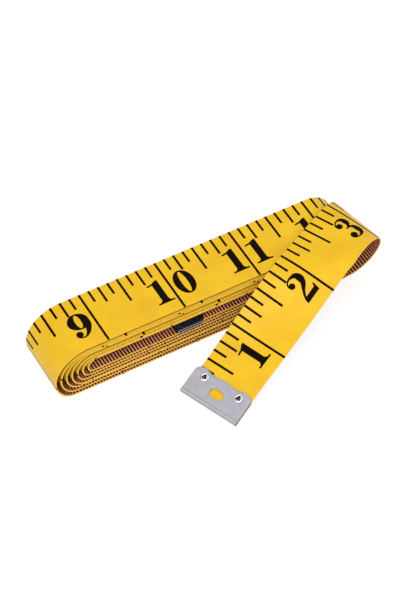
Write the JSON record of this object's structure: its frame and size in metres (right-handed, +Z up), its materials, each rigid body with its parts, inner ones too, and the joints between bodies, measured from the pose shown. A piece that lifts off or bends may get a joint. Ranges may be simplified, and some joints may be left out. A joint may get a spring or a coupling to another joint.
{
  "type": "cloth tape measure",
  "caption": "Soft tailor's tape measure wound into a flat bundle, its metal-tipped free end folded back over the top and down to the table.",
  "frame": {"origin": "on the table face of the lowest run of tape, below the middle of the bundle", "axes": "+X along the bundle towards the folded loop, +Y away from the tail, +Z up"},
  "size_m": [0.1104, 0.053, 0.0207],
  "materials": {
    "tape": "yellow vinyl coat on woven cloth, satin, printed in black",
    "ferrule": "nickel-plated folded sheet",
    "rivet": "bright plated tubular rivet"
  },
  "bodies": {
    "bundle": {"tape_bundle": "tape", "end_ferrule": "ferrule", "end_rivet_front": "rivet", "end_rivet_back": "rivet"},
    "loop_1": {"tape_loop_1": "tape"},
    "loop_2": {"tape_loop_2": "tape"},
    "loop_3": {"tape_loop_3": "tape"},
    "loop_4": {"tape_loop_4": "tape"},
    "loop_5": {"tape_loop_5": "tape"},
    "loop_6": {"tape_loop_6": "tape"},
    "tail": {"tape_tail": "tape", "start_ferrule": "ferrule", "start_rivet_front": "rivet", "start_rivet_back": "rivet"}
  },
  "joints": [
    {"name": "unroll_1", "type": "hinge", "parent": "bundle", "child": "loop_1", "pos_m": [0.04966, 0, 0.00048], "axis": [-0.2267, 0.974, 0], "range_deg": [0, 25.7]},
    {"name": "unroll_2", "type": "hinge", "parent": "loop_1", "child": "loop_2", "pos_m": [0.05384, -0.00011, 0.00243], "axis": [-0.2267, 0.974, 0], "range_deg": [0, 25.7]},
    {"name": "unroll_3", "type": "hinge", "parent": "loop_2", "child": "loop_3", "pos_m": [0.05681, -0.00051, 0.00595], "axis": [-0.2267, 0.974, 0], "range_deg": [0, 25.7]},
    {"name": "unroll_4", "type": "hinge", "parent": "loop_3", "child": "loop_4", "pos_m": [0.05803, -0.00131, 0.01033], "axis": [-0.2267, 0.974, 0], "range_deg": [0, 25.7]},
    {"name": "unroll_5", "type": "hinge", "parent": "loop_4", "child": "loop_5", "pos_m": [0.05729, -0.00256, 0.01471], "axis": [-0.2267, 0.974, 0], "range_deg": [0, 25.7]},
    {"name": "unroll_6", "type": "hinge", "parent": "loop_5", "child": "loop_6", "pos_m": [0.0548, -0.00422, 0.01823], "axis": [-0.2267, 0.974, 0], "range_deg": [0, 25.7]},
    {"name": "unroll_7", "type": "hinge", "parent": "loop_6", "child": "tail", "pos_m": [0.0511, -0.00617, 0.02018], "axis": [-0.2267, 0.974, 0], "range_deg": [0, 25.7]}
  ]
}
